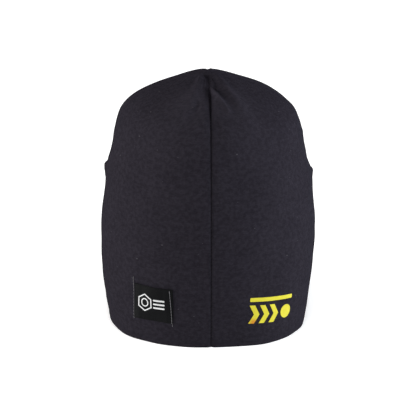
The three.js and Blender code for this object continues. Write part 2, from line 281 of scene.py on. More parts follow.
def running_lengths(points, axis):
    """Lengths along a grid of points in one direction, from 0 at its start: the running sum of its chords."""
    chords = np.linalg.norm(np.diff(points, axis=axis), axis=-1)
    return np.insert(np.cumsum(chords, axis=axis), 0, 0, axis=axis)


def smooth_step(places, low, high):
    t = np.clip((places - low) / (high - low), 0, 1)
    return t * t * (3 - 2 * t)


def seam_relief(seam, beside, down):
    """How far a seam draws the cloth in: a rounded valley, depth * (1 - beside / reach)^2, with a narrow
    groove, nip * (1 - beside / NIP_REACH)^2, at its foot."""
    table = SEAMS[seam]
    depth, reach, nip = (smooth_curve(table["down"], table[key])(down) for key in ("depth", "reach", "nip"))
    valley = np.maximum(depth, 0) * np.maximum(1 - np.abs(beside) / reach, 0) ** 2
    groove = np.maximum(nip, 0) * np.maximum(1 - np.abs(beside) / NIP_REACH, 0) ** 2
    return -valley - groove


def tuck_relief(beside, down):
    """How far the right half dips in beside the back seam: depth * (1 - beside / TUCK_REACH)^1.5."""
    depth = smooth_curve(TUCKS["down"], TUCKS["depth"])(down)
    return -np.maximum(depth, 0) * np.maximum(1 - beside / TUCK_REACH, 0) ** 1.5


def fold_relief(start, end, reach, rise, beside, down):
    """A fold's rise, which falls along its line, times exp(-(distance / spread)^2), where the spread grows
    along the line."""
    (across_start, down_start), (across_end, down_end) = start, end
    along_across, along_down = across_end - across_start, down_end - down_start
    share = (beside - across_start) * along_across + (down - down_start) * along_down
    held = np.clip(share / (along_across**2 + along_down**2), 0, 1)
    away = np.hypot(beside - across_start - held * along_across, down - down_start - held * along_down)
    spread = reach * (1 + FOLD_FAN * (held - 0.5))
    return rise * (1 - FOLD_FALL * held) * np.exp(-((away / spread) ** 2))


def pucker_relief(beside, down, seed):
    """The puckers: slanting waves down the seam whose spacing wanders, fading away beside it."""
    wander = 0.8 * np.sin(down / 0.021 + seed) + 0.5 * np.sin(down / 0.0087 + 2.1 * seed)
    phase = down / PUCKERS["spacing"] + wander + np.abs(beside) / PUCKERS["slant"]
    fade = np.exp(-((beside / PUCKERS["fade"]) ** 2)) * smooth_step(down, PUCKERS["none"], PUCKERS["full"])
    return PUCKERS["lift"] * np.sin(2 * np.pi * phase) * fade


def wave_relief(across, down, seed):
    """The soft unevenness of cloth that hangs free: a few broad waves of different slants, summed."""
    total = np.zeros_like(across)
    for wave in WAVES:
        turn = 2 * np.pi * (across / wave["wide"] + down / wave["tall"]) + seed * wave["start"]
        total += wave["lift"] * np.sin(turn)
    return total


def half_grid(half):
    """The outer face of a half on a grid of rows from the rim to the tip and columns from the back seam over
    the side to the front seam, closer beside a seam: the smooth body moved along its normals by the
    relief."""
    share = np.linspace(0, 2, GRID["columns"])
    crowding = GRID["crowding"] * np.sin(2 * np.pi * share)
    turn, climb = np.meshgrid((share - crowding) * np.pi / 2, np.linspace(0, 1, GRID["rows"]))
    body = body_points(half, turn, climb)
    normal = body_normals(half, turn, climb)
    across = running_lengths(body, 1)
    down = running_lengths(body[::-1], 0)[::-1]
    side = GRID["columns"] // 2
    beside = {"back": across, "front": across[:, -1:] - across, "dart": across - across[:, side : side + 1]}
    from_seam = np.minimum(beside["back"], beside["front"])

    rise = sum(seam_relief(seam, beside[seam], down) for seam in SEAMS)
    if half == RIGHT:
        rise += tuck_relief(beside["back"], down)
    for seam in SEAMS:
        for fold in FOLDS[half, seam]:
            rise += smooth_step(from_seam, 0, FOLD_FADE) * fold_relief(*fold, beside[seam], down)
    for seam, seed in PUCKER_SEEDS.items():
        rise += pucker_relief(beside[seam], down, seed)
    loose = smooth_step(down, TAUT, SLACK) * smooth_step(from_seam, 0, SLACK_FADE)
    rise += wave_relief(across, down, WAVE_SEEDS[half]) * loose
    point = body + normal * rise[..., None]
    return dict(body=body, normal=normal, across=across, down=down, side=side, point=point)


def strips(numbers):
    """The quads between the neighbouring rows and columns of a grid of vertex numbers."""
    row, following = numbers[:-1], numbers[1:]
    return np.stack([row[:, :-1], following[:, :-1], following[:, 1:], row[:, 1:]], -1).reshape(-1, 4)


CUT_FROM = {LEFT: (0.62, 0.07), RIGHT: (0.0, 0.0)}  # the place in the roll of cloth that a half is cut from


def cloth_places(half, grid):
    """Where each point of the grid lies in the flat cloth, in metres: up from the rim, and across from the
    back seam. Over the dart the back and the front gore part, and each is measured across from its own
    middle, so that the knit runs straight up it. Gives the places as points of the back gore, then of the
    front gore."""
    across, down, side = grid["across"], grid["down"], grid["side"]
    dart_end = np.argmin(np.abs(down[:, side] - DART_END))
    above = np.arange(len(across))[:, None] > dart_end
    up = down[:1] - down
    back_gore = across[:, side], across
    front_gore = across[:, -1] - across[:, side], across - across[:, [side]]
    start = 0
    places = []
    for edge, beside in (back_gore, front_gore):
        width = np.maximum(edge[:, None], 1e-6)  # not 0 at the tip, as it divides
        full = edge[dart_end]
        place = start + np.where(above, (full - width) / 2 + beside, beside / width * full)
        places.append(np.stack([half * place + CUT_FROM[half][0], up + CUT_FROM[half][1]], -1))
        start = full
    return places


def closed_half(half, grid):
    """The whole wall of a half, as points, quads, triangles and the UVs of both. Each column is one path:
    down the outer face from the tip, round the rim, whose section is two quarter circles with a flat between,
    and up the inner face. The paths meet in one point at each tip, and the wall's ends at the centre seam are
    closed."""
    inner = grid["point"] - grid["normal"] * WALL
    rim_out, rim_in = grid["point"][0], inner[0]
    flat = (1 - RIM_FLAT) / 2
    bends = [(flat * (1 - np.cos(angle)), np.sin(angle)) for angle in np.radians(RIM_BENDS)]
    shares = bends + [(1 - share, drop) for share, drop in reversed(bends)]
    rim = np.stack([rim_out * (1 - share) + rim_in * share for share, _ in shares])
    rim[..., 2] *= 1 - np.array([drop for _, drop in shares])[:, None]
    path = np.concatenate([grid["point"][::-1], rim, inner])
    length, width = path.shape[:2]
    points = np.concatenate([path[[0, -1], 0], path[1:-1].reshape(-1, 3)])
    numbers = np.concatenate([np.zeros(width, int), np.arange(2, len(points)), np.ones(width, int)])

    spots = np.arange(length * width).reshape(length, width)
    skin = strips(spots)
    tip_faces = width - 1
    ends = []
    for column, order in ((0, -1), (-1, 1)):
        pairs = np.stack([spots[:, column], spots[::-1, column]], -1)[: length // 2]
        ends.append(strips(pairs)[:, ::order])
    quads = np.concatenate([skin[tip_faces:-tip_faces], *ends])
    triangles = np.concatenate([skin[:tip_faces, [0, 1, 2]], skin[-tip_faces:, [0, 1, 3]]])

    height_rows = np.arange(len(grid["point"]))
    rows = np.concatenate([height_rows[::-1], np.zeros(len(shares), int), height_rows])
    back, front = (place[rows].reshape(-1, 2) for place in cloth_places(half, grid))

    def uv_of(faces):
        in_front = (faces % width).max(1) > grid["side"]
        return np.where(in_front[:, None, None], front[faces], back[faces])

    return points, numbers[quads], numbers[triangles], (uv_of(quads), uv_of(triangles))


SHARP = math.radians(50)  # where two faces meet more steeply, the shading breaks


def add_piece(name, points, quads, triangles, uv, material, sharp=SHARP):
    """Makes a piece from points and faces that close it. Its faces are all turned where its volume, the sum
    of a . (b x c) / 6 over its triangles, comes out negative. Each face has a UV for each of its corners, in
    metres of cloth."""
    fans = np.concatenate([quads[:, [0, 1, 2]], quads[:, [0, 2, 3]], triangles])
    a, b, c = (points[fans[:, i]] for i in range(3))
    order = 1 if np.einsum("ij,ij->", a, np.cross(b, c)) > 0 else -1
    mesh = bpy.data.meshes.new(name)
    mesh.from_pydata(points.tolist(), [], quads[:, ::order].tolist() + triangles[:, ::order].tolist())
    corners = np.concatenate([part[:, ::order].reshape(-1, 2) for part in uv])
    mesh.uv_layers.new(name="cloth").data.foreach_set("uv", corners.ravel())
    mesh.shade_smooth()
    if sharp is not None:
        mesh.set_sharp_from_angle(angle=sharp)
    mesh.materials.append(material)
    piece = bpy.data.objects.new(name, mesh)
    bpy.context.scene.collection.objects.link(piece)
    return piece


def set_inputs(tree, node, inputs):
    """Gives a node its inputs. Each is a number, a colour or another node's output."""
    for name, value in dict(inputs).items():
        if isinstance(value, bpy.types.NodeSocket):
            tree.links.new(value, node.inputs[name])
        else:
            node.inputs[name].default_value = value


def add_node(tree, kind, inputs=(), **settings):
    node = tree.nodes.new(kind)
    for name, value in settings.items():
        setattr(node, name, value)
    set_inputs(tree, node, inputs)
    return node


def calculate(tree, operation, *values):
    return add_node(tree, "ShaderNodeMath", enumerate(values), operation=operation).outputs[0]


def combine(tree, operation, result, inputs):
    """One output of a calculation with vectors."""
    return add_node(tree, "ShaderNodeVectorMath", inputs, operation=operation).outputs[result]


def noise(tree, places, scale, detail=2.0):
    """Noise from 0 to 1 with the middle at 0.5, whose marks are 1 / scale long in each direction."""
    scaled = combine(tree, "MULTIPLY", "Vector", {0: places, 1: scale})
    inputs = {"Vector": scaled, "Scale": 1.0, "Detail": detail, "Roughness": 0.55}
    return add_node(tree, "ShaderNodeTexNoise", inputs).outputs["Fac"]


def ramp(tree, value, low, high):
    """0 at low and 1 at high, with a smooth start and end."""
    inputs = {"Value": value, "From Min": low, "From Max": high}
    return add_node(tree, "ShaderNodeMapRange", inputs, interpolation_type="SMOOTHSTEP").outputs["Result"]


def mixed(tree, share, colour, other):
    """A colour between two others. Inputs 6 and 7 and output 2 are the mix node's sockets for colours."""
    return add_node(tree, "ShaderNodeMix", {0: share, 6: colour, 7: other}, data_type="RGBA").outputs[2]


def bump(tree, height, strength, distance):
    """The normals of a relief whose height is distance where the given height is 1."""
    inputs = {"Height": height, "Strength": strength, "Distance": distance}
    return add_node(tree, "ShaderNodeBump", inputs).outputs["Normal"]


def new_material(name):
    """A material, its node tree and its Principled shader."""
    material = bpy.data.materials.new(name)
    material.use_nodes = True
    return material, material.node_tree, material.node_tree.nodes["Principled BSDF"]


def cloth_uv(tree):
    """The place in the flat cloth, as a vector in metres."""
    return add_node(tree, "ShaderNodeUVMap", uv_map="cloth").outputs["UV"]


WALE, COURSE = 0.0007, 0.00056  # the width and the height of a loop of the knit
LEG_LEAN = 0.55  # how much higher a leg of a loop ends than it starts, in courses


def knit_height(tree, places):
    """The face of plain knit, from 0 in its hollows to 1 on its loops. Each wale holds two legs that lean to
    each other, so a loop is a V: sin(pi * fold) * sin(pi * (course + LEG_LEAN * fold)), where fold runs from
    0 to 1 and back in each wale."""
    parts = add_node(tree, "ShaderNodeSeparateXYZ", {0: places})
    wales = calculate(tree, "DIVIDE", parts.outputs["X"], WALE)
    courses = calculate(tree, "DIVIDE", parts.outputs["Y"], COURSE)
    fold = calculate(tree, "MULTIPLY", calculate(tree, "PINGPONG", wales, 0.5), 2.0)
    leg = calculate(tree, "SINE", calculate(tree, "MULTIPLY", fold, math.pi))
    leaning = calculate(tree, "FRACT", calculate(tree, "MULTIPLY_ADD", fold, LEG_LEAN, courses))
    loop = calculate(tree, "SINE", calculate(tree, "MULTIPLY", leaning, math.pi))
    return calculate(tree, "MULTIPLY", leg, loop)


# Painted highlights: where the cloth is painted paler to stand in for light, from one place of the flat cloth
# to another: the crests of the two sharpest crown folds, and the crown beside the centre seam, at the back
# and the front of each half.
PAINTED_HIGHLIGHTS = [
    dict(start=(0.0449, 0.2165, 0), end=(0.0370, 0.1870, 0), reach=0.0012, pale=0.55),
    dict(start=(0.0590, 0.2193, 0), end=(0.0509, 0.1843, 0), reach=0.0030, pale=0.24),
    dict(start=(0.0460, 0.205, 0), end=(0.0380, 0.165, 0), reach=0.034, pale=0.38),
    dict(start=(0.5740, 0.275, 0), end=(0.5820, 0.235, 0), reach=0.034, pale=0.46),
    dict(start=(0.2570, 0.205, 0), end=(0.2650, 0.165, 0), reach=0.034, pale=0.20),
    dict(start=(0.3630, 0.275, 0), end=(0.3550, 0.235, 0), reach=0.034, pale=0.20),
]
HIGHLIGHT_FALL = 0.6  # the share of its paleness that a spot has lost at its end


def painted_highlight(tree, places, spot):
    """How much paler a painted highlight is: pale on its line, 0 at its reach beside it, and fading along it.
    """
    start, end = Vector(spot["start"]), Vector(spot["end"])
    along = end - start
    offset = combine(tree, "SUBTRACT", "Vector", {0: places, 1: start})
    share = combine(tree, "DOT_PRODUCT", "Value", {0: offset, 1: along / along.length_squared})
    held = add_node(tree, "ShaderNodeClamp", {"Value": share}).outputs[0]
    nearest = combine(tree, "SCALE", "Vector", {0: along, "Scale": held})
    away = combine(tree, "DISTANCE", "Value", {0: offset, 1: nearest})
    fading = calculate(tree, "MULTIPLY_ADD", held, -HIGHLIGHT_FALL * spot["pale"], spot["pale"])
    return calculate(tree, "MULTIPLY", ramp(tree, away, spot["reach"], 0.0), fading)


def jersey_material():
    """Double jersey spun from charcoal and paler violet-grey fibres. The pale fibres gather in small soft
    spots, and show as short streaks along the courses and as grains. A few stray ones lie on top as lint, and
    the whole is faintly fuzzy."""
    charcoal, violet_grey = (0.0136, 0.0124, 0.0165, 1), (0.0311, 0.0283, 0.0371, 1)
    # The first is the near-black of the painted shade in the knit's hollows; the second is the colour of the
    # stray lint.
    hollow_shade_colour, lint_colour = (0.0044, 0.0038, 0.0055, 1), (0.056, 0.053, 0.060, 1)
    material, tree, shader = new_material("jersey")
    places = cloth_uv(tree)
    knit = knit_height(tree, places)
    spots = ramp(tree, noise(tree, places, (310, 320, 1), 1.5), 0.34, 0.66)
    streaks = ramp(tree, noise(tree, places, (230, 1150, 1)), 0.44, 0.66)
    grains = ramp(tree, noise(tree, places, (750, 1500, 1)), 0.42, 0.70)
    clouds = noise(tree, places, (45, 60, 1))
    lint = ramp(tree, noise(tree, places, (330, 560, 1), 0.0), 0.84, 0.90)
    fuzz = noise(tree, places, (2600, 2600, 1), 1.0)
    pale = calculate(tree, "MULTIPLY_ADD", clouds, 0.34, -0.08)
    for marks, weight in ((spots, 0.34), (streaks, 0.16), (grains, 0.20)):
        pale = calculate(tree, "MULTIPLY_ADD", marks, weight, pale)
    # Painted highlights: the crests of two crown folds and the crown beside the centre seam are painted
    # paler, standing in for light.
    for spot in PAINTED_HIGHLIGHTS:
        pale = calculate(tree, "ADD", pale, painted_highlight(tree, places, spot))
    # Painted shade: the knit's hollows between the loops are darkened towards a near-black colour.
    hollow_shade = calculate(tree, "MULTIPLY_ADD", knit, -0.35, 0.35)
    yarn = mixed(tree, hollow_shade, mixed(tree, pale, charcoal, violet_grey), hollow_shade_colour)
    height = calculate(tree, "MULTIPLY_ADD", fuzz, 0.35, knit)
    inputs = {
        "Base Color": mixed(tree, lint, yarn, lint_colour),
        "Roughness": calculate(tree, "MULTIPLY_ADD", grains, 0.10, 0.86),
        "Specular IOR Level": 0.0,
        "Sheen Weight": 0.015,
        "Sheen Roughness": 0.50,
        "Sheen Tint": (0.60, 0.52, 0.72, 1),
        "Normal": bump(tree, height, 0.7, 0.00022),
    }
    set_inputs(tree, shader, inputs)
    return material


jersey = jersey_material()
halves = {}
for half, name in HALVES:
    halves[half] = half_grid(half)
    piece = add_piece(f"jersey_{name}", *closed_half(half, halves[half]), jersey)
    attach(piece, "root")
    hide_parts(f"{name}_half")

# The sewing thread of the centre seam and the darts. It is dark as the cloth and lies inside the seam. Only
# the short bars that cross from one edge to the other show, down in the groove.

SEAM_THREAD = 0.00011  # radius
THREAD_SIDES = 6
BARE_AT_RIM, BARE_AT_TIP = 4, 10  # the rows of the grid at the rim and at the tip that have no bar


def thread_lengths(paths, normals, radius):
    """Short lengths of thread as points, quads and triangles. Along each path runs a ring of points, centre +
    radius * (normal * cos + binormal * sin), which narrows at both ends, as the sine of start to pi - start
    raised to a power, and the end rings are filled."""
    start, power = 0.35, 0.4
    count, steps = paths.shape[:2]
    along = np.gradient(paths, axis=1)
    along /= np.linalg.norm(along, axis=-1, keepdims=True)
    out = normals - along * np.sum(normals * along, -1, keepdims=True)
    out /= np.linalg.norm(out, axis=-1, keepdims=True)
    aside = np.cross(along, out)
    angle = np.arange(THREAD_SIDES) * 2 * np.pi / THREAD_SIDES
    taper = np.sin(np.linspace(start, np.pi - start, steps)) ** power * radius
    ring = out[:, :, None] * np.cos(angle)[:, None] + aside[:, :, None] * np.sin(angle)[:, None]
    points = paths[:, :, None] + ring * taper[None, :, None, None]

    numbers = np.arange(count * steps * THREAD_SIDES).reshape(count, steps, THREAD_SIDES)
    closed = np.concatenate([numbers, numbers[:, :, :1]], 2)
    quads = np.stack([closed[:, :-1, :-1], closed[:, 1:, :-1], closed[:, 1:, 1:], closed[:, :-1, 1:]], -1)
    ends = numbers[:, 0], numbers[:, -1, ::-1]
    fans = [np.stack([end[:, [0] * (THREAD_SIDES - 2)], end[:, 1:-1], end[:, 2:]], -1) for end in ends]
    return points.reshape(-1, 3), quads.reshape(-1, 4), np.concatenate(fans).reshape(-1, 3)


def seam_bars():
    """Paths of the bars over every seam, and the cloth's normals there: for every second row of the grid,
    five points from the third column on one side of the seam to the third on the other, half a thread off the
    cloth."""
    paths, normals = [], []
    left, right = halves[LEFT], halves[RIGHT]
    rows = np.arange(BARE_AT_RIM, GRID["rows"] - BARE_AT_TIP, 2)
    for column in (0, -1):
        beside = [column + step if column == 0 else column - step for step in (2, 1, 0)]
        for key, store in (("point", paths), ("normal", normals)):
            crossing = [left[key][rows, c] for c in beside] + [right[key][rows + 1, c] for c in beside[1::-1]]
            store.append(np.stack(crossing, 1))
    for half in (left, right):
        rows = np.nonzero(half["down"][:-BARE_AT_TIP, half["side"]] < DART_END)[0][::2]
        for key, store in (("point", paths), ("normal", normals)):
            store.append(np.stack([half[key][rows, half["side"] + step] for step in (-2, -1, 0, 1, 2)], 1))
    paths, normals = np.concatenate(paths), np.concatenate(normals)
    return paths + normals * SEAM_THREAD / 2, normals


def add_thread(name, points, quads, triangles, material):
    """Makes a piece of thread, with smooth shading. It isn't cut from the cloth, so its UVs are all 0."""
    uv = (np.zeros((len(quads), 4, 2)), np.zeros((len(triangles), 3, 2)))
    return add_piece(name, points, quads, triangles, uv, material, sharp=None)


def thread_material(name, colour, roughness):
    """Spun sewing thread: two plies that wind round each other, as a fine slanting bump, and little shine."""
    material, tree, shader = new_material(name)
    places = add_node(tree, "ShaderNodeTexCoord").outputs["Object"]
    inputs = {"Vector": places, "Scale": 900.0}
    plies = add_node(tree, "ShaderNodeTexWave", inputs, bands_direction="DIAGONAL").outputs["Fac"]
    shade = 0.6
    darker = tuple(shade * channel for channel in colour[:3]) + (1,)
    inputs = {
        "Base Color": mixed(tree, noise(tree, places, (900, 900, 900)), darker, colour),
        "Roughness": roughness,
        "Specular IOR Level": 0.2,
        "Sheen Weight": 0.02,
        "Normal": bump(tree, plies, 0.5, 0.00005),
    }
    set_inputs(tree, shader, inputs)
    return material


dark_thread = thread_material("dark_thread", (0.014, 0.013, 0.017, 1), 0.7)
piece = add_thread("seam_threads", *thread_lengths(*seam_bars(), SEAM_THREAD), dark_thread)
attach(piece, "root")

# The woven label: a strip of black satin ribbon near the rim at the back, on the left. Its two ends are
# folded under and sewn down with a row of grey stitches each. Its sign, a nut and three bars, is woven in
# with white.

LABEL_ACROSS = 0.0468  # from the back seam to its middle
LABEL_UP = 0.0346
LABEL_WIDTH = 0.0348
LABEL_TALL = 0.0280
LABEL_CLOTH = 0.00032  # how thick the ribbon is
LABEL_UNDER = 0.0065  # how much of it is folded under at each end
LABEL_FOLD = 0.00024  # the radius of the fold
RIBBON = dict(rest=0.00048, over_fold=0.00030, stitched=0.00014, wave=0.00010, curl=0.00022)


def cloth_table(grid, highest=0.09, widest=0.12, steps=480):
    """The outer face near the rim, sampled for marks to lie on: for each row of the grid up to the highest,
    its points and normals at even distances across from the back seam, by linear interpolation along the
    row."""
    heights = grid["body"][:, 0, 2]
    rows = np.nonzero(heights < highest)[0]
    spots = np.linspace(0, widest, steps + 1)
    sources = [grid[key][..., axis] for key in ("point", "normal") for axis in range(3)]
    lines = [[np.interp(spots, grid["across"][row], source[row]) for source in sources] for row in rows]
    return heights[rows], spots[1], np.array(lines)


cloth_tables = {half: cloth_table(grid) for half, grid in halves.items()}


def laid_on(half, across, height, lift):
    """Points on a half's outer face at distances across from the back seam and heights above the floor, found
    between the table's entries by bilinear interpolation, and lifted off it along the normal."""
    heights, step, table = cloth_tables[half]
    row = np.interp(height, heights, np.arange(len(heights)))
    column = across / step
    i = np.clip(row.astype(int), 0, table.shape[0] - 2)
    j = np.clip(column.astype(int), 0, table.shape[2] - 2)
    up, on = (row - i)[..., None], (column - j)[..., None]
    below = table[i, :, j] * (1 - on) + table[i, :, j + 1] * on
    above = table[i + 1, :, j] * (1 - on) + table[i + 1, :, j + 1] * on
    found = below * (1 - up) + above * up
    normal = found[..., 3:] / np.linalg.norm(found[..., 3:], axis=-1, keepdims=True)
    return found[..., :3] + normal * lift[..., None], normal


NO_TRIANGLES = np.zeros((0, 3), int)


def add_film(name, top, bottom, places, material, loop=False):
    """Makes a thin piece between the grids of points on its top and its bottom: each row runs over the top
    and back along the bottom, and the first and last rows are joined in a loop or capped. Its UVs are the
    flat places of its points, the same on the top and on the bottom."""
    around = np.concatenate([top, bottom[:, ::-1]], 1)
    rows, length = around.shape[:2]
    numbers = np.arange(rows * length).reshape(rows, length)
    skin = np.concatenate([numbers, numbers[:, :1]], 1)
    if loop:
        quads = strips(np.concatenate([skin, skin[:1]]))
    else:
        caps = []
        for row, order in ((0, 1), (-1, -1)):
            pairs = np.stack([numbers[row], numbers[row, ::-1]], -1)[: length // 2]
            caps.append(strips(pairs)[:, ::order])
        quads = np.concatenate([strips(skin), *caps])
    flat = np.concatenate([places, places[:, ::-1]], 1).reshape(-1, 2)
    uv = flat[quads], np.zeros((0, 3, 2))
    return add_piece(name, around.reshape(-1, 3), quads, NO_TRIANGLES, uv, material)


def ribbon_lift(right, up):
    """How far the middle of the label's cloth lies off the jersey: high over the folded ends and lower
    between them, with a dent along each row of stitches, a slow wave, and free edges that curl up."""
    to_end = np.abs(right) / (LABEL_WIDTH / 2)
    to_edge = np.abs(up) / (LABEL_TALL / 2)
    over_fold = RIBBON["over_fold"] * smooth_step(to_end, 0.50, 0.72)
    stitched = RIBBON["stitched"] * np.exp(-(((to_end - 0.93) / 0.035) ** 2))
    wave = np.sin(right / 0.0052 + 0.9) * np.sin(up / 0.0069 + 0.4) * (1 - to_end**4)
    curl = RIBBON["curl"] * to_edge**6 * (0.6 + 0.4 * np.sin(right / 0.0041))
    return RIBBON["rest"] + over_fold - stitched + RIBBON["wave"] * wave + curl


def label_sheet():
    """The ribbon on a grid along its length and its height: its top, its bottom and its flat places. Its
    middle line runs from under one end, round the fold, a half circle, along the top, and round to under the
    other end. Half its thickness goes to each side."""
    end = LABEL_WIDTH / 2 - LABEL_FOLD - LABEL_CLOTH / 2
    up = np.linspace(-LABEL_TALL / 2, LABEL_TALL / 2, 49)
    turn = np.linspace(0, np.pi, 9)[1:-1]
    over = np.linspace(-end, end, 61)
    under = np.linspace(end - LABEL_UNDER, end, 9)
    bulge = LABEL_FOLD * np.sin(turn)
    right = np.concatenate([-under, -end - bulge, over, end + bulge, under[::-1]])
    rising, low, high = (1 - np.cos(turn)) / 2, np.zeros_like(under), np.ones_like(over)
    share = np.concatenate([low, rising, high, 1 - rising, low])
    across, above = np.meshgrid(right, up, indexing="ij")
    top = ribbon_lift(np.clip(across, -end, end), above)
    lift = top - 2 * LABEL_FOLD * (1 - share[:, None])
    along = np.stack([np.gradient(across, axis=0), np.gradient(lift, axis=0)], -1)
    along /= np.linalg.norm(along, axis=-1, keepdims=True)
    faces = []
    for side in (0.5, -0.5):
        aside = side * LABEL_CLOTH
        place = LABEL_ACROSS + LEFT * (across - along[..., 1] * aside)
        faces.append(laid_on(LEFT, place, LABEL_UP + above, lift + along[..., 0] * aside)[0])
    length = running_lengths(np.stack([across, lift], -1), 0)
    return *faces, np.stack([length, above], -1)


def weave_rows(tree, places, pick):
    """Rows of weft a pick apart: each pick's number, with its fraction, and the rows' round backs, the sine
    of pi * fraction."""
    up = add_node(tree, "ShaderNodeSeparateXYZ", {0: places}).outputs["Y"]
    picks = calculate(tree, "DIVIDE", up, pick)
    backs = calculate(tree, "MULTIPLY", calculate(tree, "FRACT", picks), math.pi)
    return picks, calculate(tree, "SINE", backs)


def satin_material():
    """Black satin ribbon: fine floats along its length that are staggered from pick to pick, with a soft
    shine."""
    pick, float_length, stagger = 0.00024, 0.0011, 0.4
    shadow, black = (0.0020, 0.0022, 0.0025, 1), (0.0056, 0.0060, 0.0066, 1)
    material, tree, shader = new_material("label_satin")
    places = cloth_uv(tree)
    picks, backs = weave_rows(tree, places, pick)
    right = add_node(tree, "ShaderNodeSeparateXYZ", {0: places}).outputs["X"]
    started = calculate(tree, "MULTIPLY", calculate(tree, "FLOOR", picks), stagger)
    floats = calculate(tree, "FRACT", calculate(tree, "MULTIPLY_ADD", right, 1 / float_length, started))
    tucked = ramp(tree, calculate(tree, "PINGPONG", floats, 0.5), 0.0, 0.12)
    weave = calculate(tree, "MULTIPLY", backs, tucked)
    inputs = {
        "Base Color": mixed(tree, weave, shadow, black),
        "Roughness": calculate(tree, "MULTIPLY_ADD", noise(tree, places, (160, 420, 1)), 0.20, 0.40),
        "Specular IOR Level": 0.03,
        "Normal": bump(tree, weave, 0.5, 0.00008),
    }
    set_inputs(tree, shader, inputs)
    return material


label = add_film("satin_label", *label_sheet(), satin_material())
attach(label, "root")
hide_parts("woven_label")

# The sign on the label: a hexagonal nut and three bars. It is woven in with a white weft, whose short floats
# lie over the black satin.

SIGN_UNDER, SIGN_TOP = 0.00001, 0.00012  # how far the sign's threads lie off the label
NUT = dict(right=-0.0065, up=0.0004, reach=0.0072, stroke=0.0010, hole=0.0034, hole_stroke=0.0008)
BARS = dict(right=0.0060, up=0.0004, width=0.0094, tall=0.0013, pitch=0.0031, count=3, corner=0.0003)


def on_label(right, up, lift):
    """Points on top of the label, right of and above its middle, as seen from behind."""
    lifts = ribbon_lift(right, up) + LABEL_CLOTH / 2 + lift
    return laid_on(LEFT, LABEL_ACROSS + LEFT * right, LABEL_UP + up, lifts)[0]


def band(right, up, radius, stroke, corners):
    """A closed band round a middle: a circle, or with corners a regular polygon, whose distance from the
    middle at each angle is radius * cos(half a side) / cos(angle from the side's middle)."""
    angle = np.linspace(0, 2 * np.pi, 72, endpoint=False)
    scale = np.ones_like(angle)
    if corners:
        side = 2 * np.pi / corners
        scale = np.cos(side / 2) / np.cos((angle + np.pi / 2) % side - side / 2)
    reach = scale[:, None] * (radius - stroke * np.linspace(0, 1, 4))
    return right + reach * np.cos(angle)[:, None], up + reach * np.sin(angle)[:, None]


def rounded_bar(right, up, width, tall, corner):
    """A bar with round corners, on a grid of columns about 0.8 mm apart: at x its half height is tall / 2 -
    corner + sqrt(corner^2 - over^2), where over is how far x lies past the start of the corner."""
    x = np.sin(np.linspace(-np.pi / 2, np.pi / 2, max(9, int(width / 0.0008)))) * width / 2
    over = np.maximum(np.abs(x) - (width / 2 - corner), 0)
    half_tall = tall / 2 - corner + np.sqrt(np.maximum(corner**2 - over**2, 0))
    y = half_tall[:, None] * np.linspace(-1, 1, 6)
    return right + x[:, None] + 0 * y, up + y


def woven_in(name, right, up, loop, material):
    """Lays a flat shape of the sign on the label."""
    top, bottom = on_label(right, up, SIGN_TOP), on_label(right, up, SIGN_UNDER)
    piece = add_film(name, top, bottom, np.stack([right, up], -1), material, loop)
    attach(piece, "root")
    return piece


def white_weft():
    """The white thread of the sign, woven in rows of short floats."""
    shadow, white = (0.30, 0.31, 0.32, 1), (0.62, 0.63, 0.64, 1)
    material, tree, shader = new_material("white_weft")
    places = cloth_uv(tree)
    _, backs = weave_rows(tree, places, 0.00036)
    height = calculate(tree, "MULTIPLY_ADD", noise(tree, places, (1400, 2600, 1)), 0.5, backs)
    inputs = {
        "Base Color": mixed(tree, height, shadow, white),
        "Roughness": 0.6,
        "Normal": bump(tree, height, 0.6, 0.00008),
    }
    set_inputs(tree, shader, inputs)
    return material


white = white_weft()
nut = band(NUT["right"], NUT["up"], NUT["reach"], NUT["stroke"], 6)
hole = band(NUT["right"], NUT["up"], NUT["hole"], NUT["hole_stroke"], 0)
sign = [woven_in("sign_nut", *nut, True, white), woven_in("sign_nut_hole", *hole, True, white)]
for i in range(BARS["count"]):
    up = BARS["up"] + (1 - i) * BARS["pitch"]
    bar = rounded_bar(BARS["right"], up, BARS["width"], BARS["tall"], BARS["corner"])
    sign.append(woven_in(f"sign_bar_{i + 1}", *bar, False, white))

# The stitches of grey thread that hold the label's folded ends. Each row runs a little askew and past the
# ribbon, from one place beside the label's middle and above it to another.

STITCH_ROWS = {
    "label_stitches_outer": dict(start=(-0.0192, 0.0186), end=(-0.0182, -0.0160)),
    "label_stitches_inner": dict(start=(0.0148, 0.0130), end=(0.0170, -0.0172)),
}
STITCH = dict(length=0.0024, gap=0.04, rise=0.00026, sunk=0.00004, step=0.0004)  # gap is a share of a length
LABEL_THREAD = 0.00021


def stitch_row(start, end):
    """A row of stitches. Each is an arch of seven points, highest in its middle and sunk at both its ends, on
    the label where that is under it and otherwise on the jersey, with a short step between."""
    (right_start, up_start), (right_end, up_end) = start, end
    count = round(math.hypot(right_end - right_start, up_end - up_start) / STITCH["length"])
    share = (np.arange(count)[:, None] + np.linspace(STITCH["gap"], 1 - STITCH["gap"], 7)) / count
    right, up = right_start + share * (right_end - right_start), up_start + share * (up_end - up_start)
    inside = smooth_step(LABEL_WIDTH / 2 - np.abs(right), -STITCH["step"], STITCH["step"])
    inside = inside * smooth_step(LABEL_TALL / 2 - np.abs(up), -STITCH["step"], STITCH["step"])
    arch = np.sin(np.linspace(0, np.pi, 7)) * STITCH["rise"] - STITCH["sunk"]
    lift = inside * (ribbon_lift(right, up) + LABEL_CLOTH / 2) + arch
    return laid_on(LEFT, LABEL_ACROSS + LEFT * right, LABEL_UP + up, lift)


grey_thread = thread_material("grey_thread", (0.15, 0.15, 0.16, 1), 0.5)
for name, row in STITCH_ROWS.items():
    piece = add_thread(name, *thread_lengths(*stitch_row(**row), LABEL_THREAD), grey_thread)
    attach(piece, "root")
    sign.append(piece)

# The transfer print: a thin satin film of bright yellow near the rim at the back, on the right. It is pressed
# on hot, so it follows the knit. A bar runs along its top, with three chevrons and a disc under it.

